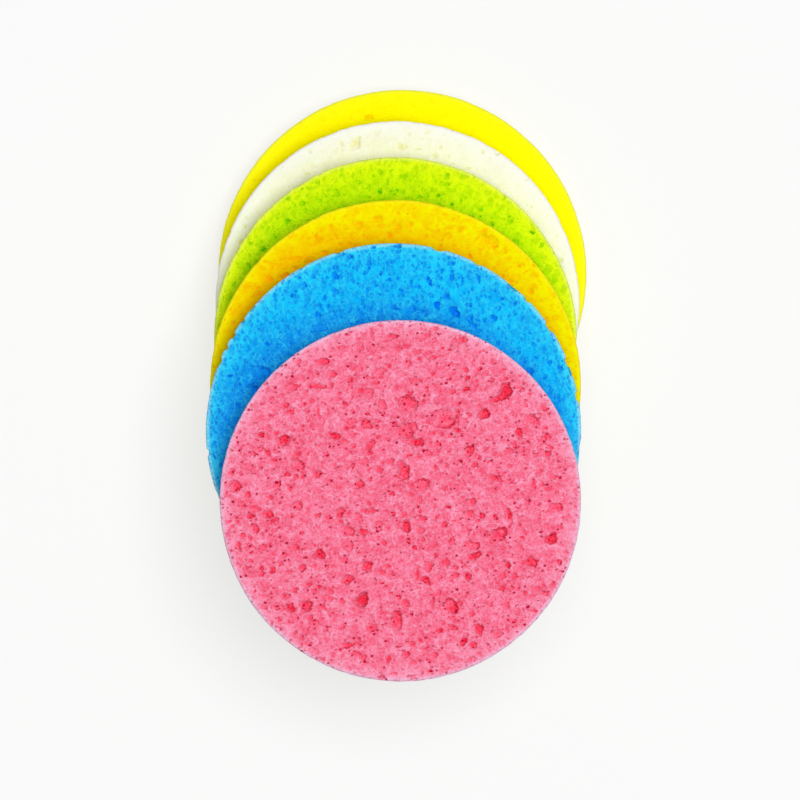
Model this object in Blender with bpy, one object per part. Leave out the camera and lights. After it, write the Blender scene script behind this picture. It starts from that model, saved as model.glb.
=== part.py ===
"""Fanned pile of six round cellulose cleansing sponges, one colour each.

Units are metres and +Z is up. The pile lies on a table: the yellow sponge is at the
bottom, and each sponge above it lies flat on the last one, slid towards -Y, so that a
crescent of every colour shows. The origin is under the middle of the whole pile, on the
table. Each sponge is parented to the one below it, and its origin is on its own vertical
axis, at its underside, so lifting a sponge takes along what lies on it.
"""

import math
import random
from collections import namedtuple

import bmesh
import bpy
from mathutils import Matrix

# Diameter of each sponge. They are stamped out dry and swell a little unevenly.
YELLOW_DIAMETER = 0.0813
WHITE_DIAMETER = 0.0799
GREEN_DIAMETER = 0.0793
ORANGE_DIAMETER = 0.0807
BLUE_DIAMETER = 0.0812
PINK_DIAMETER = 0.0778

# Swollen thickness of each sponge
YELLOW_THICKNESS = 0.0100
WHITE_THICKNESS = 0.0100
GREEN_THICKNESS = 0.0100
ORANGE_THICKNESS = 0.0100
BLUE_THICKNESS = 0.0100
PINK_THICKNESS = 0.0100

# How far each sponge is slid towards -Y over the one below it
WHITE_STEP = 0.00646
GREEN_STEP = 0.00787
ORANGE_STEP = 0.01027
BLUE_STEP = 0.00984
PINK_STEP = 0.01496

# How far each sponge lies to the +X side of the one below it
WHITE_SHIFT = -0.00106
GREEN_SHIFT = -0.00046
ORANGE_SHIFT = 0.00003
BLUE_SHIFT = -0.00041
PINK_SHIFT = 0.00149

# Air left between two sponges that lie on each other
LAYER_GAP = 0.0003

# Rounding where the stamped wall meets a face
EDGE_RADIUS = 0.0007
EDGE_STEPS = 2
RIM_SEGMENTS = 72
SHARP_ANGLE = math.radians(35)

# Open cells. The largest one measures this along its length, and the tables give the
# others as shares of it. Each is cut by half of an ellipsoid with few faces.
LARGEST_CELL = 0.0049
CELL_SIDES = 7
CELL_RINGS = 5

# Depth of a cell as a share of its width
DEEP_SHARE = 0.62
HALF_SHARE = 0.42
FLAT_SHARE = 0.26

# Cells that follow a rule, where the tables name none: on the covered part of a top
# face, on the underside, and round the stamped wall. The middle of the underside stays
# whole, as the face that the sponge rests on.
COVERED_CELL = 0.0030
COVERED_COUNT = 14
COVERED_REACH_SHARE = 0.90
UNDERSIDE_CELL = 0.0034
UNDERSIDE_COUNT = 11
UNDERSIDE_REACH_SHARE = 0.86
UNDERSIDE_CLEAR_SHARE = 0.16
WALL_CELL = 0.0028
WALL_COUNT = 7
WALL_HEIGHT_SHARES = (0.38, 0.62)
WALL_SECTOR_SHARES = (0.3, 0.7)
RULED_LENGTH_SHARES = (0.7, 1.0)
RULED_WIDTH_SHARES = (0.6, 0.9)
GOLDEN_ANGLE = math.radians(137.508)

# Each table lists the large open cells of one top face, as far as it shows in the pile:
# place towards +X and +Y as shares of the sponge's radius, length and width as shares of
# the largest cell, turn of the length from +X in degrees, and depth.
YELLOW_CELL_SHARES = (
    (-0.190, 0.847, 0.52, 0.26, 4, DEEP_SHARE),
    (-0.281, 0.844, 0.24, 0.22, 0, HALF_SHARE),
    (0.044, 0.866, 0.30, 0.24, 0, FLAT_SHARE),
)
WHITE_CELL_SHARES = (
    (-0.237, 0.888, 0.56, 0.46, 80, HALF_SHARE),
    (-0.314, 0.874, 0.26, 0.22, 70, HALF_SHARE),
    (0.015, 0.857, 0.50, 0.34, -5, HALF_SHARE),
    (0.201, 0.814, 0.34, 0.24, -20, HALF_SHARE),
    (-0.125, 0.927, 0.34, 0.28, 0, FLAT_SHARE),
    (0.674, 0.629, 0.26, 0.22, 0, HALF_SHARE),
)
GREEN_CELL_SHARES = (
    (-0.089, 0.812, 0.36, 0.28, 10, DEEP_SHARE),
    (0.237, 0.784, 0.30, 0.26, 60, DEEP_SHARE),
    (-0.598, 0.648, 0.42, 0.30, 10, DEEP_SHARE),
    (-0.708, 0.611, 0.28, 0.24, 0, HALF_SHARE),
    (0.630, 0.664, 0.28, 0.24, 60, DEEP_SHARE),
    (0.750, 0.592, 0.30, 0.28, 0, DEEP_SHARE),
    (-0.739, 0.496, 0.34, 0.28, 30, HALF_SHARE),
)
ORANGE_CELL_SHARES = (
    (0.074, 0.861, 0.44, 0.34, -10, HALF_SHARE),
    (-0.043, 0.827, 0.28, 0.24, 0, HALF_SHARE),
    (0.161, 0.854, 0.30, 0.24, 20, FLAT_SHARE),
    (0.491, 0.771, 0.90, 0.58, -15, FLAT_SHARE),
    (-0.352, 0.854, 0.28, 0.20, 0, HALF_SHARE),
    (0.738, 0.493, 0.34, 0.24, -30, HALF_SHARE),
)
BLUE_CELL_SHARES = (
    (0.319, 0.639, 0.52, 0.40, -55, DEEP_SHARE),
    (0.187, 0.798, 0.44, 0.32, -60, HALF_SHARE),
    (0.455, 0.781, 0.70, 0.24, 88, FLAT_SHARE),
    (0.231, 0.666, 0.28, 0.24, 0, HALF_SHARE),
    (0.648, 0.680, 0.32, 0.28, 70, HALF_SHARE),
    (-0.481, 0.781, 0.40, 0.36, 0, HALF_SHARE),
    (-0.297, 0.822, 0.36, 0.34, 0, HALF_SHARE),
    (-0.148, 0.917, 0.56, 0.38, 10, HALF_SHARE),
    (-0.881, 0.290, 0.36, 0.28, 0, DEEP_SHARE),
    (-0.609, 0.358, 0.44, 0.30, 35, HALF_SHARE),
)
PINK_CELL_SHARES = (
    (0.554, 0.588, 1.00, 0.62, 30, DEEP_SHARE),
    (0.462, 0.482, 0.52, 0.36, 45, DEEP_SHARE),
    (0.307, 0.433, 0.78, 0.30, 105, FLAT_SHARE),
    (0.089, 0.327, 0.72, 0.34, 0, DEEP_SHARE),
    (0.378, 0.278, 0.60, 0.44, 30, HALF_SHARE),
    (0.018, 0.158, 0.74, 0.50, 110, HALF_SHARE),
    (0.504, 0.123, 0.60, 0.36, 20, FLAT_SHARE),
    (-0.438, 0.756, 0.70, 0.44, 8, HALF_SHARE),
    (-0.114, 0.707, 0.70, 0.46, 10, HALF_SHARE),
    (-0.600, 0.623, 0.64, 0.40, 20, FLAT_SHARE),
    (-0.646, 0.331, 0.56, 0.44, -35, DEEP_SHARE),
    (-0.361, 0.352, 0.60, 0.40, -25, DEEP_SHARE),
    (-0.565, 0.200, 0.86, 0.64, -20, FLAT_SHARE),
    (-0.244, 0.094, 0.48, 0.46, 0, HALF_SHARE),
    (-0.917, 0.081, 0.54, 0.50, -30, HALF_SHARE),
    (-0.452, 0.489, 0.82, 0.28, 100, FLAT_SHARE),
    (-0.734, -0.073, 0.56, 0.40, 5, DEEP_SHARE),
    (-0.297, -0.172, 0.72, 0.50, -15, HALF_SHARE),
    (-0.442, -0.292, 0.52, 0.42, 20, DEEP_SHARE),
    (-0.776, -0.390, 0.50, 0.34, 50, DEEP_SHARE),
    (-0.184, -0.362, 0.54, 0.40, -30, HALF_SHARE),
    (-0.213, -0.545, 0.74, 0.62, 20, DEEP_SHARE),
    (-0.530, -0.580, 0.78, 0.56, -20, HALF_SHARE),
    (-0.019, -0.669, 0.82, 0.56, 95, HALF_SHARE),
    (-0.290, -0.806, 0.60, 0.46, 10, FLAT_SHARE),
    (0.033, -0.144, 0.50, 0.42, 0, DEEP_SHARE),
    (0.596, -0.087, 0.78, 0.34, -75, DEEP_SHARE),
    (0.832, -0.214, 0.56, 0.52, 45, DEEP_SHARE),
    (0.406, -0.305, 0.64, 0.42, 20, HALF_SHARE),
    (0.723, -0.341, 0.58, 0.50, 20, HALF_SHARE),
    (0.138, -0.440, 0.60, 0.32, -32, DEEP_SHARE),
    (0.286, -0.601, 0.72, 0.62, -15, DEEP_SHARE),
    (0.430, -0.711, 0.66, 0.38, 95, DEEP_SHARE),
    (0.582, -0.552, 0.48, 0.46, 0, FLAT_SHARE),
    (0.029, -0.848, 0.44, 0.42, 0, HALF_SHARE),
)

# One sponge: its sizes, its place over the one below, its screen colour, the cells that
# show on its top face, how many ruled cells fill the covered rest, and its random seed
Sponge = namedtuple(
    "Sponge", "name diameter thickness step shift colour cell_shares covered seed"
)

SPONGES = (
    Sponge("yellow_sponge", YELLOW_DIAMETER, YELLOW_THICKNESS, 0, 0,
           (0.99, 0.97, 0.03), YELLOW_CELL_SHARES, COVERED_COUNT, 1),
    Sponge("white_sponge", WHITE_DIAMETER, WHITE_THICKNESS, WHITE_STEP, WHITE_SHIFT,
           (0.96, 0.96, 0.88), WHITE_CELL_SHARES, COVERED_COUNT, 2),
    Sponge("green_sponge", GREEN_DIAMETER, GREEN_THICKNESS, GREEN_STEP, GREEN_SHIFT,
           (0.77, 0.94, 0.04), GREEN_CELL_SHARES, COVERED_COUNT, 3),
    Sponge("orange_sponge", ORANGE_DIAMETER, ORANGE_THICKNESS, ORANGE_STEP, ORANGE_SHIFT,
           (0.98, 0.83, 0.01), ORANGE_CELL_SHARES, COVERED_COUNT, 4),
    Sponge("blue_sponge", BLUE_DIAMETER, BLUE_THICKNESS, BLUE_STEP, BLUE_SHIFT,
           (0.09, 0.68, 0.96), BLUE_CELL_SHARES, COVERED_COUNT, 5),
    Sponge("pink_sponge", PINK_DIAMETER, PINK_THICKNESS, PINK_STEP, PINK_SHIFT,
           (0.97, 0.46, 0.58), PINK_CELL_SHARES, 0, 6),
)

# One open cell: the middle of its mouth on the face that it opens in, and its size
Cell = namedtuple("Cell", "x y length width depth turn")


def clear_scene():
    for obj in list(bpy.data.objects):
        bpy.data.objects.remove(obj)


def linear(channel):
    """A screen colour's channel as the linear value that a shader takes."""
    return channel / 12.92 if channel <= 0.04045 else ((channel + 0.055) / 1.055) ** 2.4


def cellulose_material(name, colour):
    material = bpy.data.materials.new(name)
    material.use_nodes = True
    shader = material.node_tree.nodes["Principled BSDF"]
    shader.inputs["Base Color"].default_value = (*map(linear, colour), 1.0)
    shader.inputs["Roughness"].default_value = 0.9
    shader.inputs["Metallic"].default_value = 0.0
    return material


def object_from(bm, name):
    mesh = bpy.data.meshes.new(name)
    bm.to_mesh(mesh)
    bm.free()
    obj = bpy.data.objects.new(name, mesh)
    bpy.context.scene.collection.objects.link(obj)
    return obj


def stamped_disc(sponge):
    """The stamped round of one sponge, standing on its own underside."""
    radius = sponge.diameter / 2
    bm = bmesh.new()
    bmesh.ops.create_cone(
        bm, cap_ends=True, segments=RIM_SEGMENTS, radius1=radius, radius2=radius,
        depth=sponge.thickness,
        matrix=Matrix.Translation((0, 0, sponge.thickness / 2)),
    )
    obj = object_from(bm, sponge.name)
    rounding = obj.modifiers.new("rounded_edge", "BEVEL")
    rounding.width = min(EDGE_RADIUS, sponge.thickness / 2)
    rounding.segments = EDGE_STEPS
    rounding.limit_method = "ANGLE"
    return obj


def shown_cells(sponge):
    """The cells of the sponge's own table."""
    radius = sponge.diameter / 2
    cells = []
    for x_share, y_share, length_share, width_share, turn, depth_share in sponge.cell_shares:
        width = LARGEST_CELL * width_share
        cells.append(Cell(
            radius * x_share, radius * y_share, LARGEST_CELL * length_share, width,
            width * depth_share, math.radians(turn),
        ))
    return cells


def ruled_cell(x, y, size, chance):
    """A cell of about this size, a little different from the others."""
    length = size * chance.uniform(*RULED_LENGTH_SHARES)
    width = length * chance.uniform(*RULED_WIDTH_SHARES)
    return Cell(x, y, length, width, width * HALF_SHARE, chance.uniform(0, math.pi))


def spiral_cells(count, reach, size, start, chance):
    """Cells spread evenly over a disc, along a sunflower's spiral."""
    cells = []
    for i in range(count):
        out = reach * math.sqrt((i + 0.5) / count)
        angle = start + i * GOLDEN_ANGLE
        cells.append(ruled_cell(out * math.cos(angle), out * math.sin(angle), size, chance))
    return cells


def stands_clear(cell, others):
    """Whether half the cell's length of foam is left between it and each of the others."""
    return all(
        math.dist((cell.x, cell.y), (other.x, other.y)) > cell.length + other.length / 2
        for other in others
    )


def cut_out(bm, face, cell):
    """Adds one cell's ellipsoid, whose middle is on the face's plane.

    face places the plane's own X, Y and outward Z. The ellipsoid has an odd number of
    rings, so none of them lies in the plane that cuts it.
    """
    half_axes = Matrix.Diagonal((cell.length / 2, cell.width / 2, cell.depth, 1))
    turned = Matrix.Rotation(cell.turn, 4, "Z") @ half_axes
    bmesh.ops.create_uvsphere(
        bm, u_segments=CELL_SIDES, v_segments=CELL_RINGS, radius=1,
        matrix=face @ Matrix.Translation((cell.x, cell.y, 0)) @ turned,
    )


def cell_cutter(sponge):
    """All the open cells of one sponge, as one hidden cutter."""
    chance = random.Random(sponge.seed)
    radius = sponge.diameter / 2
    bm = bmesh.new()

    top = Matrix.Translation((0, 0, sponge.thickness))
    shown = shown_cells(sponge)
    covered = spiral_cells(
        sponge.covered, radius * COVERED_REACH_SHARE, COVERED_CELL, sponge.seed, chance
    )
    for cell in shown + [cell for cell in covered if stands_clear(cell, shown)]:
        cut_out(bm, top, cell)

    underside = Matrix.Rotation(math.pi, 4, "X")
    under = spiral_cells(
        UNDERSIDE_COUNT, radius * UNDERSIDE_REACH_SHARE, UNDERSIDE_CELL, -sponge.seed, chance
    )
    for cell in under:
        if math.hypot(cell.x, cell.y) > radius * UNDERSIDE_CLEAR_SHARE:
            cut_out(bm, underside, cell)

    sector = math.tau / WALL_COUNT
    for i in range(WALL_COUNT):
        angle = sector * (i + chance.uniform(*WALL_SECTOR_SHARES))
        height = sponge.thickness * chance.uniform(*WALL_HEIGHT_SHARES)
        place = Matrix.Rotation(angle, 4, "Z") @ Matrix.Translation((radius, 0, height))
        wall = place @ Matrix.Rotation(math.pi / 2, 4, "Y")
        cut_out(bm, wall, ruled_cell(0, 0, WALL_CELL, chance))

    cutter = object_from(bm, sponge.name + "_cells")
    cutter.hide_render = True
    cutter.display_type = "WIRE"
    return cutter


def make_sponge(sponge):
    obj = stamped_disc(sponge)
    name = sponge.name.replace("sponge", "cellulose")
    obj.data.materials.append(cellulose_material(name, sponge.colour))
    cutter = cell_cutter(sponge)
    cutter.parent = obj
    cells = obj.modifiers.new("open_cells", "BOOLEAN")
    cells.operation = "DIFFERENCE"
    cells.solver = "EXACT"
    cells.use_self = True
    cells.object = cutter
    obj.data.shade_smooth()
    obj.data.set_sharp_from_angle(angle=SHARP_ANGLE)
    return obj


def pile_middle():
    """Middle of the whole pile's outline, measured from the bottom sponge's axis."""
    x, y = 0, 0
    lows, highs = [], []
    for sponge in SPONGES:
        x += sponge.shift
        y -= sponge.step
        radius = sponge.diameter / 2
        lows.append((x - radius, y - radius))
        highs.append((x + radius, y + radius))
    low = [min(values) for values in zip(*lows)]
    high = [max(values) for values in zip(*highs)]
    return (low[0] + high[0]) / 2, (low[1] + high[1]) / 2


def main():
    clear_scene()
    middle_x, middle_y = pile_middle()
    pile = bpy.data.objects.new("pile", None)
    pile.location = (-middle_x, -middle_y, 0)
    bpy.context.scene.collection.objects.link(pile)
    below, rise = pile, 0
    for sponge in SPONGES:
        obj = make_sponge(sponge)
        obj.parent = below
        obj.location = (sponge.shift, -sponge.step, rise)
        below, rise = obj, sponge.thickness + LAYER_GAP


main()
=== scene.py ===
"""Looks of a fanned pile of six round cellulose cleansing sponges.

Each sponge of the frame is replaced by a stamped disc of foam whose open cells are sunk
into its mesh: those that the photograph shows are named one by one by their pixel, and
the rest follow a seeded rule. Units are metres, +Z is up, and the camera looks straight
down on the pile.
"""

import math
import random
from collections import namedtuple
from types import SimpleNamespace

import bmesh
import bpy
import numpy as np
from mathutils import Matrix, Vector, kdtree


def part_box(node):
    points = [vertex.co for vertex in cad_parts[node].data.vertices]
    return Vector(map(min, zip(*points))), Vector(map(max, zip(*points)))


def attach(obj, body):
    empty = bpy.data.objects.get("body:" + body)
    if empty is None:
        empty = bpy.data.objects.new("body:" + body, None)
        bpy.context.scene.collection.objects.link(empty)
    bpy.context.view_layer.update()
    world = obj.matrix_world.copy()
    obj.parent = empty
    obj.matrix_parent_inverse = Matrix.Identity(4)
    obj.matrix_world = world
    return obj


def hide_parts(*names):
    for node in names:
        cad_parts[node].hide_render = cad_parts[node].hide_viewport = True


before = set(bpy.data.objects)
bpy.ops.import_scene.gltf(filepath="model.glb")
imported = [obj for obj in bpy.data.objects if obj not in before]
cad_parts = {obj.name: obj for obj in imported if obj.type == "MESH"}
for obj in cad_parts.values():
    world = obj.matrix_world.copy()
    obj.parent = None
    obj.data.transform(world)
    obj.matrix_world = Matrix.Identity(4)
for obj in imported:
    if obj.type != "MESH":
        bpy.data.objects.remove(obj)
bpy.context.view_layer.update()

MM = 0.001

# The photograph's frame and where its camera stood. A sponge's pixels are read on the
# plane of its own top face.
PHOTO_PX = 800
FOCAL_PX = 9313
SENSOR = 36
CAMERA_PLACE = Vector((0.000418, -0.003915, 2.062))
CAMERA_REACH = 10

# A wide soft lamp from the upper right, nearly overhead, and a white room, as shares of the
# light that shows a colour as written on a face that looks up. They add up to more than 1,
# because the foam shades itself. The camera sees the room brighter than it shines.
WHITE = (1.0, 1.0, 1.0, 1.0)
LAMP_SHARE = 0.71
LAMP_SIZE = 0.86
LAMP_PLACE = Vector((0.21, 0.09, 1.76))
ROOM_SHARE = 0.305
ROOM_SEEN = 0.985

# The paper, which glows a little to the camera only
PAPER = (0.90, 0.90, 0.90, 1.0)
PAPER_ROUGHNESS = 0.9
FLOOR_SIZE = 8.0
FLOOR_DROP = 0.05 * MM
FLOOR_GLOW = 0.67

# Painted shade: a top face takes a deeper colour beside the sponge that lies on it, and in
# under that one, for the shade that sponge casts: how far, how much shorter and weaker
# towards the lamp, and how far down the wall
BESIDE_SHADE_REACH = 9.5 * MM
BESIDE_SHADE_INNER = 12.0 * MM
BESIDE_SHADE_LEAN = 0.65
BESIDE_SHADE_SIDES = 0.2
BESIDE_SHADE_DEPTH = 3.0 * MM

# Foam mesh: the spacing of its vertices, how far in under the next sponge its face is made
# finer, how far down from the face, and the core that its vertices sink towards
VOXEL = 0.40 * MM
FINE_MARGIN = 2.5 * MM
EDGE_ROUNDING = 0.6 * MM
EDGE_STEPS = 3
FACE_BAND = 1.5 * EDGE_ROUNDING
LEVEL_WITHIN = 0.1 * MM
RIM_SEGMENTS = 180
CORE_INSET = 3.6 * MM
TINY = 1e-9

# A gentle unevenness is the sum of this many waves, whose lengths differ by these shares
WAVE_COUNT = 9
WAVE_LENGTHS = (0.7, 1.6)

# Unevenness of the stamped disc, inwards only: how much of it, and how far apart its humps
OUTLINE_WAVE = 0.16 * MM
OUTLINE_WAVE_SIZE = 14 * MM
FACE_WAVE = 0.14 * MM
FACE_WAVE_SIZE = 9 * MM
FACE_RAG = 0.05 * MM
FACE_RAG_SIZE = 0.9 * MM
SHAPE_SEED = 7

# Notches of the rim: their depth, size and grouping, how quickly they change up the wall
# and how far in they fade. They are where a wave, made steeper, passes the start.
NOTCH = 0.30 * MM
NOTCH_SIZE = 2.6 * MM
NOTCH_GROUP = 11 * MM
NOTCH_RISE = 0.15
NOTCH_FADE = 2.5 * MM
NOTCH_STEEPNESS = 2.6
NOTCH_START = 1.0
GROUP_STEEPNESS = 2.4
GROUP_START = 0.6

# How deep an open cell is for its width, how much painted shade, as the deep colour, its
# bottom and its far wall take, how round its bottom is and how quickly that painted shade
# deepens from its lip.
# D, H and F are deep, half deep and flat cells, and SMALL are the least of the ruled ones.
Opening = namedtuple("Opening", "depth_share tint far_wall roundness steepness")
D = Opening(1.00, 0.94, 1.00, 0.50, 2.0)
H = Opening(0.70, 0.68, 0.95, 0.70, 1.6)
F = Opening(0.42, 0.48, 0.84, 1.00, 1.6)
SMALL = Opening(0.75, 0.50, 0.50, 0.70, 1.3)

# The foam was drawn this way before it set, so a cell is deepest off its middle. The
# lean is a share of the cell's half width, of mixed strength, and strays by this angle.
# This way lies nearly towards the lamp, so it also sets the side on which the far wall's
# painted shade goes
DRAWN_WAY = Vector((0.97, 0.22, 0))
LEAN = 0.68
LEAN_STRENGTHS = (0.55, 1)
LEAN_STRAYS = math.radians(30)

# Painted shade on the far wall, on that side, where it faces away from the lamp: it is what
# lies outside the mouth when it is moved back by this share of the half width. It shows
# less the softer the foam is.
SHADED_WALL_SHIFT = 0.42
SHADED_WALL_START = 0.88
SHADED_WALL_BLUR = 0.40
SHADED_WALL_SHARE = 1.28
SHADED_WALL_SOFTENS = 2

# A mouth bulges by these shares of its size in 2, 3, 4 and 5 lobes, of mixed strength. It
# is looked for within so many half lengths, and its bowl reaches so many depths down.
RIPPLE_SHARES = (0.15, 0.11, 0.08, 0.06)
RIPPLE_STRENGTHS = (0.3, 1)
MOUTH_REACH = 1.4
BOWL_REACH = 1.6

# Vertices this near to a lip, as a share of their spacing, are moved onto it. That is left
# out where it is more than the largest share of the half width.
SNAP_SHARE = 0.55
SNAP_LARGEST = 0.5

# How far the mouths of the cells wander, over two lengths. Those of cells whose half width
# is less than this many drifts wander less.
DRIFT = 0.22 * MM
DRIFT_SIZE = 1.7 * MM
FINE_DRIFT = 0.15 * MM
FINE_DRIFT_SIZE = 0.7 * MM
STEADY_DRIFTS = 4

# Cells that follow the rule: their sizes, widths and kinds, how far their turn strays, how
# much of a surface they open, and how clear of the named cells they stay
SMALL_CELL = 0.50 * MM
MIDDLE_CELL = 0.95 * MM
SHOWN_LARGEST = 1.6 * MM
HIDDEN_LARGEST = 4.6 * MM
RIM_LARGEST = 0.7 * MM
SIZE_FALL = 2.1
RULED_WIDTHS = (0.62, 0.98)
RULED_STRAYS = 0.5
LARGE_KINDS = (D, H, H, F)
MIDDLE_KINDS = (H, F, F)
HIDDEN_COVER = 0.34
HIDDEN_SHARE = 1.5
WALL_COVER = 0.36
WALL_STRETCH = 1.2
NAMED_CLEAR = 0.7

# The map on which a sponge is laid out: its side and margin in radii of the disc, how far
# up or down a flat face looks at least, and the run, room and rise of the wall's two strips
MAP_SIDE = 4.08
MAP_MARGIN = 0.02
MAP_FACING = 0.72
MAP_STRIP_RUN = 3.9
MAP_STRIP_ROOM = 1.25
MAP_STRIP_RISE = 1.2

# Effects of the foam: round mouths, hollows with walls, threads and cloudy patches
DOTS = {"Spacing": 0.90 * MM, "Mouth": 0.44, "Rarity": 1.5}
PRICKS = {"Spacing": 0.50 * MM, "Mouth": 0.45, "Rarity": 1.8}
WIDE_WEB = {"Spacing": 1.8 * MM, "Wall": 0.01}
FINE_WEB = {"Spacing": 0.85 * MM, "Wall": 0.02}
STRANDS = {"Size": 1.8 * MM, "Width": 0.042}
THREADS = {"Size": 0.95 * MM, "Width": 0.055}
CLOUDS = {"Size": 4.5 * MM}
PATCHES = {"Size": 2.0 * MM}
TUFTS = {"Size": 1.6 * MM}
SPECKS = {"Size": 0.5 * MM}

# What is inside the effects
WARP_SCALE = 1.3
WARP_REACH = 0.5
MOUTH_LEAST = 0.45
MOUTH_DIFFERS = 0.7
MOUTH_INNER = 0.4
HOLLOW_DEPTHS = (0.15, 0.85)
STRAND_DETAIL = 2.0
STRAND_BEND = 0.5
MOTTLE_DETAIL = 3.0
MOTTLE_STEP = (0.36, 0.64)

# Ramps: where one starts and ends, then its values there. The band and the fringe of the
# rim, paler foam that is partly a painted highlight where the rounded rim catches the light,
# are in millimetres from the edge.
BAND = (4.5, 0.6)
FRINGE = (1.1, 0.3)
FRINGE_BY_SPECKS = (0.0, 1.0, 0.45, 1.0)
STRANDS_BY_TUFTS = (0.0, 1.0, 0.35, 1.0)
THREADS_BY_TUFTS = (0.3, 1.6, 0.2, 1.0)
HOLLOW = (0.0, 0.75)
BOTTOM = (0.55, 1.0)
DOTS_BY_CELLS = (0.0, 0.5, 0.85, 2.1)
DOTS_BY_CLOUDS = (0.0, 1.0, 1.25, 0.75)

# How much of the painted shade in the open cells the specks leave: more in softer foam
BROKEN_LOW = 0.54
BROKEN_SOFTENS = 0.6
BROKEN_HIGH = 1.12

# The most that each layer of colour hides of those before it. The web, pit, hollow,
# bottom and prick layers and the dots paint shade, and the band and fringe are partly a
# painted highlight
CLOUD_STAIN = 0.12
BAND_STAIN = 0.68
PATCH_STAIN = 0.28
WIDE_WEB_STAIN = 0.66
FINE_WEB_STAIN = 0.65
PIT_STAIN = 0.55
SPECK_STAIN = 0.30
TUFT_STAIN = 0.25
STRAND_STAIN = 0.85
THREAD_STAIN = 0.55
FRINGE_STAIN = 0.85
HOLLOW_STAIN = 0.95
HOLLOW_SOFTENS = 0.8
BOTTOM_STAIN = 1.1
CROSSING_STAIN = 0.20
PRICK_STAIN = 0.62

# Relief that is finer than the mesh, as shares of its full height, and how rough the foam is
RELIEF = 0.22 * MM
RELIEF_SHARE = 0.5
STRAND_RISE = 0.25
SPECK_RISE = 0.3
WIDE_WEB_DROP = 0.7
FINE_WEB_DROP = 0.4
DOT_DROP = 0.6
PRICK_DROP = 0.3
FOAM_ROUGHNESS = 0.88
DOT_ROUGHNESS = 0.08
FOAM_GLOSS = 0.02

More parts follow.
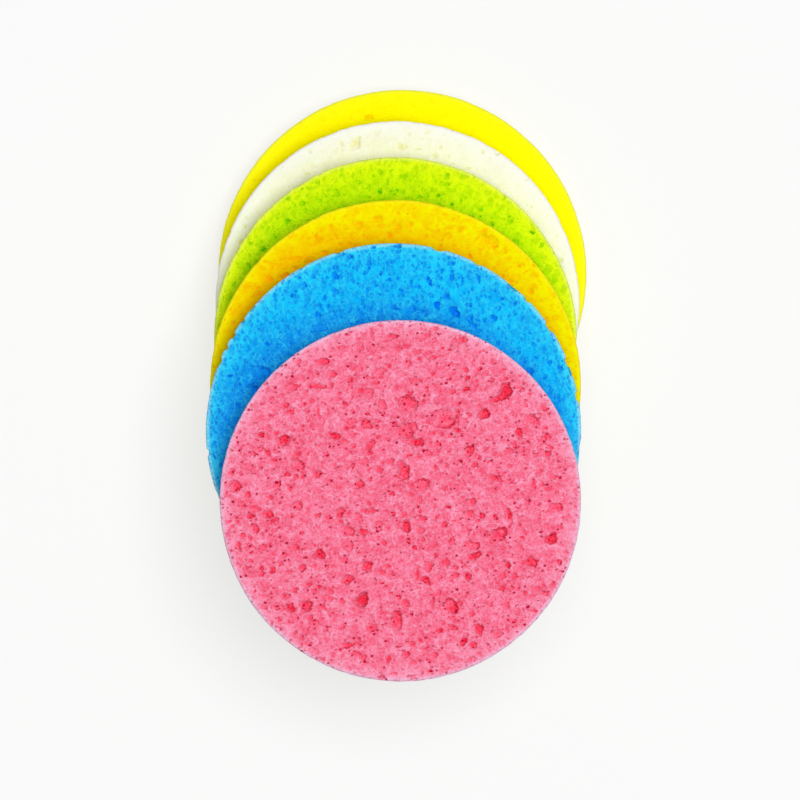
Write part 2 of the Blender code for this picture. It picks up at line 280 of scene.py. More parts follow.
# The open cells that the photograph shows: the pixel of each one's middle, its length and
# width in pixels, its kind and, unless its length lies level, its turn in degrees
PINK_CELLS = (
    (322, 362, 15, 8, H, 10), (379, 372, 16, 10, F), (376, 383, 8, 5, H),
    (389, 366, 4, 3.5, D), (332, 374, 10, 6, H), (317, 386, 20, 6, H), (310, 386, 4, 4, D),
    (303, 380, 5, 4, H), (291, 388, 17, 9, F, 10), (299, 386, 3, 3, D),
    (350, 379, 7, 6, H, 90), (368, 393, 12, 9, F), (284, 405, 10, 7, H),
    (291, 411, 6, 6, H), (304, 404, 5, 4, H), (318, 411, 18, 4, H, 95), (332, 408, 6, 3, H),
    (345, 404, 6, 4, D), (352, 411, 5, 3.5, H), (367, 414, 6, 5, D),
    (351, 422, 13, 10, F, 60), (366, 424, 11, 10, H), (355, 434, 6, 2.5, D),
    (334, 436, 13, 8, D, -25), (344, 441, 10, 6, H, -25), (352, 446, 7, 5, H),
    (284, 440, 13, 10, D, -35), (261, 436, 6, 6, D), (275, 433, 6, 5, H),
    (247, 444, 4, 3.5, H), (267, 453, 7, 7, H), (259, 448, 9, 8, F),
    (298, 466, 18, 13, F, -20), (300, 441, 7, 5, F), (287, 475, 8, 4, D, 10),
    (317, 474, 11, 8, H), (230, 473, 9, 7, H), (235, 486, 13, 11, H, -30),
    (224, 493, 6, 5, H, 90), (247, 495, 7, 7, H), (275, 486, 18, 7, F, 50),
    (358, 484, 12, 9, H, 70), (391, 493, 8, 5, D), (379, 470, 8, 7, H), (395, 476, 4, 3, D),
    (353, 466, 5, 5, H), (377, 437, 9, 5, H), (390, 462, 9, 7, F), (363, 462, 12, 8, F),
    (390, 337, 14, 8, F), (371, 353, 8, 5, F), (358, 347, 14, 7, F), (339, 347, 3, 3, D),
    (347, 390, 3, 3, D), (308, 421, 3, 3, D), (506, 391, 15, 12, D, 70),
    (502, 395, 17, 11, D, 35), (496, 400, 13, 7, D, 27), (484, 414, 13, 9, D, 40),
    (519, 433, 8, 8, D), (536, 423, 10, 7, H, 90), (530, 420, 17, 13, F),
    (545, 427, 5, 5, H), (505, 418, 7, 6, H), (525, 406, 7, 4, H), (465, 390, 7, 6, D),
    (467, 378, 7, 5, D), (478, 369, 8, 5, H), (490, 380, 10, 7, F), (504, 369, 6, 4, H),
    (479, 351, 10, 5, F), (492, 362, 10, 7, F), (456, 423, 16, 6, F, 100),
    (457, 430, 8, 4, D), (415, 442, 18, 9, D, 5), (433, 433, 7, 5, H),
    (469, 451, 14, 10, H, 30), (426, 452, 14, 7, F, -20), (408, 456, 8, 4, H),
    (424, 461, 3, 2, H), (403, 471, 19, 15, H, 100), (422, 486, 17, 15, F),
    (480, 458, 5, 5, H), (474, 465, 7, 7, H), (487, 462, 4, 4, H), (435, 469, 7, 6, H),
    (457, 465, 3, 3, D), (493, 478, 10, 7, H), (499, 480, 7, 6, H),
    (533, 484, 12, 7, H, 100), (552, 476, 13, 7, F), (547, 454, 8, 8, H),
    (551, 448, 5, 5, H), (515, 447, 4, 4, H), (510, 466, 4, 4, H), (542, 485, 8, 5, H, 90),
    (422, 329, 8, 6, F), (454, 339, 6, 5, H), (442, 348, 5, 3, D), (449, 350, 5, 3, D),
    (433, 357, 7, 4, H), (419, 359, 4, 4, D), (415, 353, 10, 6, F), (426, 388, 5, 5, H),
    (415, 381, 12, 8, F), (410, 393, 7, 6, H), (432, 374, 6, 5, H), (439, 415, 13, 12, F),
    (412, 427, 12, 10, F), (452, 391, 9, 7, F), (508, 452, 12, 10, F), (407, 363, 10, 8, F),
    (446, 418, 26, 22, F), (408, 405, 24, 19, F), (403, 431, 24, 17, F),
    (382, 405, 12, 10, F), (457, 412, 7, 6, H), (250, 516, 10, 5, D, 5),
    (268, 514, 13, 9, D), (254, 529, 9, 8, H), (237, 522, 5, 4, H), (237, 545, 9, 7, H, 90),
    (239, 549, 5, 3, D), (251, 553, 6, 3, D), (272, 554, 4, 4, H), (294, 548, 11, 6, H),
    (284, 554, 6, 6, F), (319, 554, 12, 9, D), (346, 531, 18, 13, F, -20),
    (363, 533, 8, 8, D), (351, 546, 12, 4, H, 90), (368, 566, 12, 10, D, -30),
    (387, 566, 7, 6, H), (302, 568, 8, 7, H, 90), (288, 573, 9, 6, F), (262, 568, 6, 5, D),
    (260, 573, 9, 8, H), (272, 569, 8, 7, D, 90), (245, 568, 7, 6, H), (332, 566, 8, 3, H),
    (326, 568, 7, 5, H, 90), (348, 579, 13, 10, H), (308, 585, 9, 7, H),
    (319, 587, 5, 5, D), (331, 591, 5, 5, H), (381, 583, 6, 3, D),
    (362, 600, 15, 14, D, 20), (285, 596, 9, 7, F), (291, 608, 10, 9, D, 90),
    (305, 606, 17, 13, H, -20), (322, 608, 10, 6, H, -10), (277, 608, 12, 7, F),
    (316, 623, 11, 8, F), (329, 627, 6, 2.5, H), (371, 628, 12, 10, F), (371, 628, 4, 4, D),
    (396, 621, 20, 15, H, 95), (359, 639, 4, 4, H), (347, 645, 14, 8, H, 10),
    (388, 659, 7, 6, D, 60), (363, 657, 7, 6, H), (301, 646, 5, 3, H, 90),
    (393, 514, 7, 7, H), (317, 516, 8, 6, H), (340, 513, 11, 8, H, 90), (356, 514, 3, 3, D),
    (357, 518, 12, 8, F), (295, 506, 14, 11, F), (302, 533, 6, 4, D), (388, 528, 5, 4, H),
    (242, 505, 9, 9, F), (369, 504, 6, 6, H), (308, 644, 9, 6, F),
    (406, 526, 12, 11, D, 90), (404, 514, 6, 6, H), (448, 507, 6, 4, D),
    (420, 511, 5, 4, D, 90), (423, 520, 9, 6, H), (469, 515, 13, 9, H, 25),
    (482, 515, 7, 6, D, -40), (495, 517, 6, 5, D, 90), (509, 516, 17, 6, D, -75),
    (519, 525, 5, 4, H), (472, 502, 10, 8, H), (420, 530, 12, 8, F), (422, 539, 6, 6, H),
    (408, 541, 7, 7, H), (414, 548, 6, 5, D), (436, 554, 6, 6, H), (429, 566, 9, 8, H),
    (426, 580, 13, 7, D, -30), (474, 557, 15, 8, D, 15), (470, 546, 20, 11, F),
    (496, 535, 11, 10, H), (486, 535, 8, 6, H, 90), (505, 541, 7, 4, H, -70),
    (496, 537, 25, 17, F), (508, 565, 8, 8, D), (531, 562, 14, 12, H, 20),
    (551, 539, 12, 12, D, 45), (522, 538, 5, 4, H), (468, 577, 9, 7, D, 90),
    (454, 576, 10, 9, F), (463, 594, 11, 8, F), (456, 568, 6, 5, H),
    (503, 576, 8, 6, H, 90), (514, 576, 7, 6, H), (502, 589, 7, 6, D),
    (506, 602, 10, 10, F), (525, 594, 7, 6, H), (537, 589, 7, 5, H),
    (405, 603, 12, 7, H, -10), (432, 605, 16, 6, F, 75), (448, 608, 20, 18, F),
    (453, 609, 11, 10, D, 70), (471, 613, 8, 6, H, 90), (478, 611, 3, 3, D),
    (479, 629, 14, 8, D, 95), (453, 628, 8, 7, H), (440, 631, 7, 7, D),
    (463, 642, 11, 7, D, 65), (472, 645, 9, 8, H), (479, 654, 6, 4, H),
    (471, 660, 15, 6, F, 15), (405, 654, 9, 9, H), (420, 640, 4, 4, D), (422, 633, 4, 4, H),
    (411, 614, 6, 5, H, 90), (434, 656, 10, 7, H, 60), (454, 657, 4, 2.5, H),
    (514, 622, 6, 6, H), (555, 507, 16, 11, F), (497, 634, 13, 9, F), (411, 663, 10, 6, F),
    (396, 683, 8, 4, H),
)
BLUE_CELLS = (
    (429, 281, 11, 5, D, -60), (454, 311, 12, 10, D, -55), (437, 306, 7, 7, D),
    (438, 286, 3, 3, D), (424, 292, 3, 2.5, H), (417, 286, 9, 4, H),
    (397, 278, 5, 4, H, -40), (389, 280, 6, 5, D), (376, 286, 4, 4, H),
    (367, 291, 5, 4, H, 90), (368, 262, 18, 6, F, 90), (369, 269, 4.5, 4, D),
    (348, 256, 8, 5, H), (382, 252, 4, 3.5, H, 90), (394, 250, 15, 6, F),
    (393, 307, 14, 5, H, -15), (397, 315, 3, 3, H), (410, 310, 11, 10, F),
    (408, 301, 4, 2, H), (402, 291, 5, 4, H, -40), (392, 296, 4, 4, H), (379, 295, 4, 3, H),
    (403, 265, 5, 2, H, 95), (407, 265, 4, 1.5, H, 95), (413, 265, 4, 1.5, H, 95),
    (417, 268, 4, 1.5, H, 110), (414, 271, 4, 1.5, H, 80), (423, 271, 5, 2, H, -60),
    (441, 271, 4, 4, H), (440, 278, 4, 4, H), (432, 296, 6, 4, H, 90), (446, 296, 9, 4, F),
    (363, 306, 8, 5, F, 90), (351, 324, 4, 3, D), (363, 315, 3, 3, H), (421, 312, 5, 4, H),
    (426, 315, 5, 4, H), (303, 285, 7, 7, H), (313, 277, 6, 5, H),
    (335, 276, 11, 8, H, -20), (327, 278, 3, 3, H), (353, 268, 4, 3, H, 90),
    (334, 258, 8, 4, F), (334, 268, 9, 5, F), (299, 277, 4, 3, H), (287, 282, 5, 5, H),
    (324, 283, 2.5, 2.5, D), (309, 286, 4.5, 3, H, -60), (306, 268, 2, 2, D),
    (292, 297, 7, 5, F, 90), (334, 291, 8, 8, F), (324, 299, 8, 5, H, 80),
    (328, 307, 6, 4, H, 90), (304, 318, 3, 3, H), (318, 316, 8, 7, H),
    (320, 328, 14, 10, F), (267, 344, 5, 5, D), (229, 376, 8, 5, D), (239, 385, 5, 4, H),
    (247, 348, 9, 6, F, 90), (252, 390, 14, 12, H), (261, 372, 22, 14, F),
    (238, 405, 6, 4, D, -40), (479, 280, 13, 4, H, 90), (494, 291, 4, 4, H),
    (515, 303, 7, 5, H, 90), (451, 278, 7, 5, H, 90), (470, 305, 4, 4, H),
    (482, 312, 7, 3.5, H, 90), (493, 319, 8, 7, H), (484, 321, 5, 4, D),
    (497, 309, 10, 8, F), (501, 299, 5, 4, H), (522, 318, 4, 4, H), (468, 320, 11, 9, F),
    (474, 326, 6, 6, H), (446, 297, 9, 8, F), (471, 266, 5, 4, F), (452, 263, 5, 5, H),
    (528, 372, 10, 8, H), (561, 368, 8, 6, H), (535, 358, 6, 4, H), (548, 362, 6, 6, H),
    (524, 362, 5, 5, H), (373, 246, 7, 5, D), (395, 245, 16, 5, H), (341, 252, 7, 5, H),
    (281, 281, 7, 5, H, 40), (291, 273, 7, 5, H, 40), (299, 268, 7, 5, H, 40),
)
ORANGE_CELLS = (
    (390, 235, 7, 4, H, -50), (363, 236, 4, 2.5, H, 20), (348, 244, 6, 4, H),
    (330, 226, 6, 5, H), (315, 236, 7, 5, H), (323, 253, 10, 5, H, 10), (312, 258, 5, 3, H),
    (286, 275, 8, 5, D, 20), (281, 278, 6, 6, H), (297, 258, 9, 5, F),
    (381, 242, 7, 2.5, H), (376, 220, 14, 10, F), (360, 223, 6, 5, F), (327, 241, 4, 2, H),
    (309, 262, 9, 6, F), (294, 268, 9, 6, F), (410, 224, 6, 5, H), (424, 226, 7, 5, F),
    (430, 231, 3, 3, H), (426, 236, 5, 4, H, -50), (440, 246, 5, 3, D),
    (449, 236, 6, 5, F, 90), (453, 246, 3, 3, H), (441, 240, 5, 2.5, H),
    (469, 256, 8, 5, D, -35), (465, 249, 5, 4, F), (487, 242, 23, 17, F, -15),
    (494, 247, 9, 5, H, 20), (503, 276, 5, 3, H, -30), (510, 280, 9, 4, H, -30),
    (493, 269, 5, 5, F), (354, 223, 12, 8, F), (398, 214, 8, 5, F, 90), (266, 262, 7, 5, F),
    (269, 279, 9, 6, H), (257, 288, 7, 3, H), (290, 259, 10, 6, F), (233, 323, 7, 4, H),
    (259, 293, 5, 4, H), (526, 271, 4, 3, H), (530, 291, 9, 6, H, -20),
)
GREEN_CELLS = (
    (379, 191, 8, 5, D, 10), (397, 190, 5, 4, D), (406, 177, 4, 4, H),
    (438, 196, 5, 4, D, 60), (426, 195, 6, 5, H, 90), (380, 172, 6, 4, H),
    (391, 170, 4, 4, H), (358, 182, 6, 5, H), (317, 184, 11, 8, F, 90), (319, 201, 6, 5, H),
    (336, 192, 9, 7, F, 90), (287, 221, 9, 5, D, 10), (391, 192, 11, 7, F),
    (406, 198, 7, 2.5, H), (446, 184, 6, 5, H), (451, 205, 6, 4, D), (418, 197, 10, 4, H),
    (373, 175, 4, 4, H), (366, 197, 8, 4, H), (307, 221, 6, 2.5, H, 20),
    (304, 211, 7, 6, F), (325, 210, 5, 4, H), (343, 206, 8, 4, H, 15),
    (320, 215, 5, 2, H, 20), (387, 198, 8, 2, H), (287, 199, 7, 4.5, H),
    (293, 205, 5, 5, F), (480, 217, 3.5, 3, D), (492, 224, 5, 3.5, D, -30),
    (509, 216, 4, 3.5, D), (510, 221, 6, 5, H), (532, 231, 6, 5, D), (448, 175, 5, 5, H),
    (460, 201, 6, 3.5, H, 90), (515, 241, 9, 5, H, -35), (542, 245, 7, 6, H),
    (506, 230, 8, 4, F, -20), (263, 249, 8.5, 6, D, 15), (261, 242, 3.5, 3.5, H),
    (248, 244, 6, 6, H), (302, 204, 7, 6, H), (267, 227, 6, 5, H), (274, 237, 9, 6, H, 20),
    (247, 268, 10, 7, H, 40), (233, 284, 8, 6, H, 70), (229, 296, 9, 7, H, 80),
)
WHITE_CELLS = (
    (340, 144, 6, 5, H), (341, 151, 5, 4, F), (355, 143, 16, 12, H, 80),
    (400, 147, 13, 7, H, -5), (435, 155, 8, 6, H, -20), (374, 134, 12, 7, F),
    (448, 156, 4, 4, F), (418, 150, 10, 4, F), (309, 151, 6, 6, F), (313, 165, 12, 6, F),
    (314, 172, 4, 2.5, H, 20), (282, 168, 4, 4, F), (467, 168, 7, 4, H, -15),
    (453, 163, 4, 4, F), (531, 207, 5, 4, H), (520, 187, 5, 5, F), (245, 218, 7, 4, F, -40),
    (239, 242, 5, 5, H, 60), (497, 152, 9, 5, H, -40),
)
YELLOW_CELLS = (
    (367, 117, 13, 7, D, 4), (412, 114, 6, 4, F), (293, 142, 5, 5, F),
    (349, 118, 8, 7, F, 90), (374, 122, 4, 1.5, H), (449, 125, 8, 3, F, -20),
)

# Screen colours of one sponge: its face, the paler foam of its strands, the frayed edge of
# the stamped rim, partly a painted highlight, and the painted shade inside an open cell, at
# the bottom of a deep one and in the pinholes. The cell colour also paints the shade beside
# the next sponge and in the web's hollows, and is the tone of the denser patches.
Colours = namedtuple("Colours", "face pale edge cell deep dot")

# One sponge: its node and body, its cells and its colours; how strong its painted shade
# beside and under the next sponge is; how strongly its pinholes, the wide and the fine web
# of its foam and its grain show, and how soft the web is; the share of its face that small
# cells open, and how deep cells are; the way its foam is drawn out, and how far; how notched
# its rim is, and its random seed
Sponge = namedtuple("Sponge", (
    "body cells colours dye pinholes web fine_web grain softness cover depth"
    " turn stretch rag seed"
))

SPONGES = (
    Sponge("yellow", YELLOW_CELLS,
           Colours((254, 252, 0), (254, 253, 20), (254, 253, 60), (250, 228, 0),
                   (230, 188, 0), (226, 184, 0)),
           dye=0.60, pinholes=0.08, web=0.40, fine_web=0.10, grain=0.12, softness=0.36,
           cover=0.03, depth=0.35, turn=0, stretch=1.2, rag=0.15, seed=11),
    Sponge("white", WHITE_CELLS,
           Colours((251, 247, 227), (253, 252, 250), (251, 250, 244), (230, 222, 140),
                   (214, 206, 100), (206, 198, 130)),
           dye=0.34, pinholes=0.06, web=0.14, fine_web=0.12, grain=0.60, softness=0.32,
           cover=0.03, depth=0.36, turn=30, stretch=1.2, rag=0.4, seed=12),
    Sponge("green", GREEN_CELLS,
           Colours((214, 254, 0), (240, 255, 26), (246, 255, 110), (134, 207, 0),
                   (64, 166, 0), (54, 150, 4)),
           dye=0.85, pinholes=0.22, web=0.80, fine_web=0.58, grain=0.32, softness=0.26,
           cover=0.05, depth=0.70, turn=60, stretch=1.2, rag=0.45, seed=13),
    Sponge("orange", ORANGE_CELLS,
           Colours((255, 239, 0), (255, 248, 0), (255, 246, 30), (255, 144, 0),
                   (253, 138, 0), (240, 126, 8)),
           dye=0.80, pinholes=0.07, web=0.85, fine_web=0.50, grain=0.22, softness=0.40,
           cover=0.03, depth=0.5, turn=20, stretch=1.4, rag=0.35, seed=14),
    Sponge("blue", BLUE_CELLS,
           Colours((0, 197, 255), (56, 227, 255), (166, 238, 252), (0, 121, 232),
                   (0, 112, 222), (0, 94, 202)),
           dye=1.25, pinholes=0.48, web=0.60, fine_web=1.25, grain=0.50, softness=0.17,
           cover=0.06, depth=0.7, turn=100, stretch=1.4, rag=1.7, seed=15),
    Sponge("pink", PINK_CELLS,
           Colours((251, 94, 130), (254, 176, 208), (238, 210, 240), (240, 60, 96),
                   (224, 38, 72), (190, 20, 60)),
           dye=0.0, pinholes=1.15, web=0.85, fine_web=0.80, grain=0.72, softness=0.14,
           cover=0.20, depth=0.9, turn=10, stretch=1.2, rag=0.2, seed=16),
)

# One open cell on a surface: the middle of its mouth, the way along its length, the way
# out of the foam, its half length and half width, and its kind
Cell = namedtuple("Cell", "middle along out long wide kind")


def linear(channel):
    """A screen colour's channel, from 0 to 255, as the linear value that a shader takes."""
    share = channel / 255
    return share / 12.92 if share <= 0.04045 else ((share + 0.055) / 1.055) ** 2.4


def shade(colour):
    """A screen colour as the value that a shader's colour socket takes."""
    return (*map(linear, colour), 1.0)


def pixel_size(height):
    """Width of one pixel of the photograph on the plane at this height."""
    return (CAMERA_PLACE.z - height) / FOCAL_PX


def photo_point(x_px, y_px, height):
    """The point at this height that the photograph shows at this pixel."""
    size = pixel_size(height)
    return Vector((
        CAMERA_PLACE.x + (x_px - PHOTO_PX / 2) * size,
        CAMERA_PLACE.y + (PHOTO_PX / 2 - y_px) * size,
        height,
    ))


def smooth(value):
    """A smooth step from 0 to 1."""
    value = np.clip(value, 0, 1)
    return value * value * (3 - 2 * value)


def waves(points, size, chance):
    """A gentle unevenness from 0 to 1 over these points, with humps about this far apart."""
    total = np.zeros(len(points))
    for _ in range(WAVE_COUNT):
        way = np.array([chance.gauss(0, 1) for _ in range(3)])
        way *= math.tau / (size * chance.uniform(*WAVE_LENGTHS) * np.linalg.norm(way))
        total += np.sin(points @ way + chance.uniform(0, math.tau))
    return smooth(0.5 + total / WAVE_COUNT)


def placed(name, data):
    """A new object in the scene, with this mesh, light or camera."""
    obj = bpy.data.objects.new(name, data)
    bpy.context.scene.collection.objects.link(obj)
    return obj


def values_of(items, name, kind, columns=1):
    """One value of each vertex, corner or face, or one row with this many columns."""
    values = np.empty(len(items) * columns, kind)
    items.foreach_get(name, values)
    return values if columns == 1 else values.reshape(-1, columns)


class Disc:
    """Where one sponge of the frame is: its middle, its radius and its two faces."""

    def __init__(self, body):
        low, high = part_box(body + "_sponge")
        self.x = (low.x + high.x) / 2
        self.y = (low.y + high.y) / 2
        self.radius = (high.x - low.x) / 2
        self.low = low.z
        self.top = high.z
        self.thickness = high.z - low.z

    def out_from_middle(self, points):
        return np.hypot(points[:, 0] - self.x, points[:, 1] - self.y)


def stamped_disc(disc):
    """A plain disc with rounded edges."""
    bm = bmesh.new()
    middle = Matrix.Translation((disc.x, disc.y, (disc.low + disc.top) / 2))
    bmesh.ops.create_cone(
        bm, cap_ends=True, segments=RIM_SEGMENTS, radius1=disc.radius,
        radius2=disc.radius, depth=disc.thickness, matrix=middle,
    )
    rims = [
        edge for edge in bm.edges
        if abs(edge.verts[0].co.z - edge.verts[1].co.z) < LEVEL_WITHIN
    ]
    bmesh.ops.bevel(
        bm, geom=rims, affect="EDGES", offset=EDGE_ROUNDING, offset_type="OFFSET",
        segments=EDGE_STEPS, profile=0.5, material=-1,
    )
    mesh = bpy.data.meshes.new("stamped")
    bm.to_mesh(mesh)
    bm.free()
    return mesh


def stamped_mesh(disc, above):
    """The stamped disc with evenly spaced vertices, finer where its top face shows."""
    mesh = stamped_disc(disc)
    blank = placed("stamped", mesh)
    even = blank.modifiers.new("even", "REMESH")
    even.mode = "VOXEL"
    even.voxel_size = VOXEL
    evaluated = blank.evaluated_get(bpy.context.evaluated_depsgraph_get())
    dense = bpy.data.meshes.new_from_object(evaluated)
    bpy.data.objects.remove(blank)
    bpy.data.meshes.remove(mesh)

    bm = bmesh.new()
    bm.from_mesh(dense)
    shown = set()
    for face in bm.faces:
        at = face.calc_center_median()
        if at.z < disc.top - FACE_BAND:
            continue
        if above and math.hypot(at.x - above.x, at.y - above.y) < above.radius - FINE_MARGIN:
            continue
        shown.update(face.edges)
    bmesh.ops.subdivide_edges(bm, edges=list(shown), cuts=1, use_grid_fill=True)
    bm.to_mesh(dense)
    bm.free()
    return dense


def inward_ways(disc, points):
    """For each vertex, the way into the foam. It turns gently round the disc's rim."""
    flat = points - np.array([disc.x, disc.y, 0])
    out = disc.out_from_middle(points)
    core_radius = disc.radius - CORE_INSET
    core_low, core_top = disc.low + CORE_INSET, disc.top - CORE_INSET
    core = flat.copy()
    core[:, :2] *= (np.minimum(out, core_radius) / np.maximum(out, TINY))[:, None]
    core[:, 2] = np.clip(flat[:, 2], core_low, core_top)
    way = core - flat
    return way / np.maximum(np.linalg.norm(way, axis=1), TINY)[:, None]


def photographed_cells(sponge, disc):
    """The open cells that the photograph shows on the sponge's top face, largest first."""
    half_px = pixel_size(disc.top) / 2
    cells = []
    for x_px, y_px, length_px, width_px, kind, *turn in sponge.cells:
        angle = math.radians(sum(turn))
        cells.append(Cell(
            photo_point(x_px, y_px, disc.top),
            Vector((math.cos(angle), math.sin(angle), 0)), Vector((0, 0, 1)),
            length_px * half_px, width_px * half_px, kind,
        ))
    return sorted(cells, key=lambda cell: -cell.long * cell.wide)


def ruled_size(largest, chance):
    """A cell's length: many are small and few are large."""
    return min(SMALL_CELL * (1 - chance.random()) ** (-1 / SIZE_FALL), largest)


def ruled_cell(middle, side, out, turn, largest, stretch, chance):
    """A cell of chance size and kind, whose length lies near this turn from the side."""
    length = ruled_size(largest, chance)
    width = length * chance.uniform(*RULED_WIDTHS) / stretch ** 0.5
    if length > SHOWN_LARGEST:
        kind = chance.choice(LARGE_KINDS)
    else:
        kind = chance.choice(MIDDLE_KINDS) if length > MIDDLE_CELL else SMALL
    angle = math.radians(turn) + chance.gauss(0, RULED_STRAYS)
    up = out.cross(side)
    along = math.cos(angle) * side + math.sin(angle) * up
    return Cell(middle, along, out, length / 2, width / 2, kind)


def face_cells(sponge, disc, height, out, cover, largest, keep, chance):
    """Cells strewn over a flat face until this share of it is open."""
    cells, opened = [], 0
    goal = cover * math.pi * disc.radius ** 2
    while opened < goal:
        reach = disc.radius * math.sqrt(chance.random())
        angle = chance.uniform(0, math.tau)
        middle = Vector((
            disc.x + reach * math.cos(angle), disc.y + reach * math.sin(angle), height
        ))
        cell = ruled_cell(
            middle, Vector((1, 0, 0)), out, sponge.turn, largest, sponge.stretch, chance
        )
        opened += math.pi * cell.long * cell.wide
        if keep(cell):
            cells.append(cell)
    return cells


def wall_cells(sponge, disc, chance):
    """Cells strewn round the stamped wall."""
    cells, opened = [], 0
    goal = WALL_COVER * math.tau * disc.radius * disc.thickness
    while opened < goal:
        angle = chance.uniform(0, math.tau)
        out = Vector((math.cos(angle), math.sin(angle), 0))
        side = Vector((-out.y, out.x, 0))
        height = chance.uniform(disc.low, disc.top)
        middle = Vector((disc.x, disc.y, height)) + out * disc.radius
        cell = ruled_cell(middle, side, out, 0, HIDDEN_LARGEST, WALL_STRETCH, chance)
        opened += math.pi * cell.long * cell.wide
        if disc.top - middle.z > cell.long + EDGE_ROUNDING or cell.long < RIM_LARGEST / 2:
            cells.append(cell)
    return cells


def all_cells(sponge, disc, above):
    """Every open cell of one sponge, largest first."""
    chance = random.Random(sponge.seed)
    named = photographed_cells(sponge, disc)

    def covered(cell, share=0):
        """Whether the next sponge lies on the cell, or on this share of its length too."""
        if not above:
            return False
        away = math.hypot(cell.middle.x - above.x, cell.middle.y - above.y)
        return away + cell.long * share < above.radius

    def free_of_named(cell):
        return all(
            (cell.middle - other.middle).length > cell.long + NAMED_CLEAR * other.long
            for other in named
        )

    up, down = Vector((0, 0, 1)), Vector((0, 0, -1))
    shown = face_cells(
        sponge, disc, disc.top, up, sponge.cover, SHOWN_LARGEST,
        lambda cell: not covered(cell) and free_of_named(cell), chance,
    )
    hidden = face_cells(
        sponge, disc, disc.top, up, HIDDEN_COVER, HIDDEN_LARGEST,
        lambda cell: covered(cell, HIDDEN_SHARE), chance,
    ) if above else []
    under = face_cells(
        sponge, disc, disc.low, down, HIDDEN_COVER, HIDDEN_LARGEST, lambda cell: True, chance
    )
    ruled = shown + hidden + under + wall_cells(sponge, disc, chance)
    return named + sorted(ruled, key=lambda cell: -cell.long * cell.wide)


def off_centre(u, v, lean_u, lean_v):
    """Distance from the deepest point of a round mouth, 0 there and 1 all round its lip."""
    from_u, from_v = u - lean_u, v - lean_v
    towards = from_u * lean_u + from_v * lean_v
    rest = 1 - lean_u ** 2 - lean_v ** 2
    return (towards + np.sqrt(towards ** 2 + rest * (from_u ** 2 + from_v ** 2))) / rest


def drift_at(points, chance):
    """How far, and which way, a mouth wanders at each vertex."""
    return np.stack([
        DRIFT * (2 * waves(points, DRIFT_SIZE, chance) - 1)
        + FINE_DRIFT * (2 * waves(points, FINE_DRIFT_SIZE, chance) - 1)
        for _ in range(3)
    ], axis=1)


def open_up(sponge, points, cells, spacing, chance):
    """Draws the mouths of the cells among the vertices, and gives how deep each vertex
    sinks and how much of the cells' painted shade it takes."""
    wall_shade_share = SHADED_WALL_SHARE - SHADED_WALL_SOFTENS * sponge.softness
    tree = kdtree.KDTree(len(points))
    for i, point in enumerate(points):
        tree.insert(point, i)
    tree.balance()
    drift = drift_at(points, chance)
    sunk = np.zeros(len(points))
    tint = np.zeros(len(points))
    for cell in cells:
        depth = 2 * cell.wide * cell.kind.depth_share * sponge.depth
        ripples = [
            (share * chance.uniform(*RIPPLE_STRENGTHS), lobes, chance.uniform(0, math.tau))
            for lobes, share in enumerate(RIPPLE_SHARES, start=2)
        ]
        lean = LEAN * chance.uniform(*LEAN_STRENGTHS)
        strays = Matrix.Rotation(chance.gauss(0, LEAN_STRAYS), 3, cell.out)
        reach = max(cell.long * MOUTH_REACH, depth)
        near = [i for _, i, _ in tree.find_range(cell.middle, reach)]
        if not near:
            continue
        near = np.array(near)
        along, out = np.array(cell.along), np.array(cell.out)
        across = np.cross(out, along)
        strayed = drift[near] * min(1, cell.wide / DRIFT / STEADY_DRIFTS)
        offset = points[near] + strayed - np.array(cell.middle)
        u, v, w = offset @ along / cell.long, offset @ across / cell.wide, offset @ out
        angle = np.arctan2(v, u)
        mouth = 1 + sum(
            share * np.sin(lobes * angle + phase) for share, lobes, phase in ripples
        )
        flat = np.hypot(u, v) / mouth
        u, v = u / mouth, v / mouth
        drawn = strays @ DRAWN_WAY
        drawn_u, drawn_v = drawn.dot(cell.along), drawn.dot(Vector(across))
        from_deepest = off_centre(u, v, drawn_u * lean, drawn_v * lean)
        r = np.hypot(from_deepest, w / max(depth * BOWL_REACH, spacing))
        inside = r < 1
        floor = np.clip(1 - r[inside] ** 2, 0, 1) ** cell.kind.roundness
        sunk[near[inside]] = np.maximum(sunk[near[inside]], depth * floor)
        # Painted shade on the far wall, which faces away from the lamp
        moved = np.hypot(u + drawn_u * SHADED_WALL_SHIFT, v + drawn_v * SHADED_WALL_SHIFT)[inside]
        far_wall = smooth((moved - SHADED_WALL_START) / SHADED_WALL_BLUR)
        far_wall *= cell.kind.far_wall * wall_shade_share
        # Painted shade: the colour deepens from the lip towards the bottom of the cell
        stain = cell.kind.tint * smooth(cell.kind.steepness * (1 - r[inside]))
        tint[near[inside]] = np.maximum(tint[near[inside]], np.maximum(stain, far_wall))
        band = SNAP_SHARE * spacing / cell.wide
        if band > SNAP_LARGEST:
            continue
        lip = (np.abs(flat - 1) < band) & (np.abs(w) < spacing / 4)
        lip &= sunk[near] < spacing / 2
        wide = mouth[lip][:, None] * (1 / flat[lip] - 1)[:, None]
        points[near[lip]] += wide * (
            (u[lip] * cell.long)[:, None] * along + (v[lip] * cell.wide)[:, None] * across
        )
    return sunk, tint


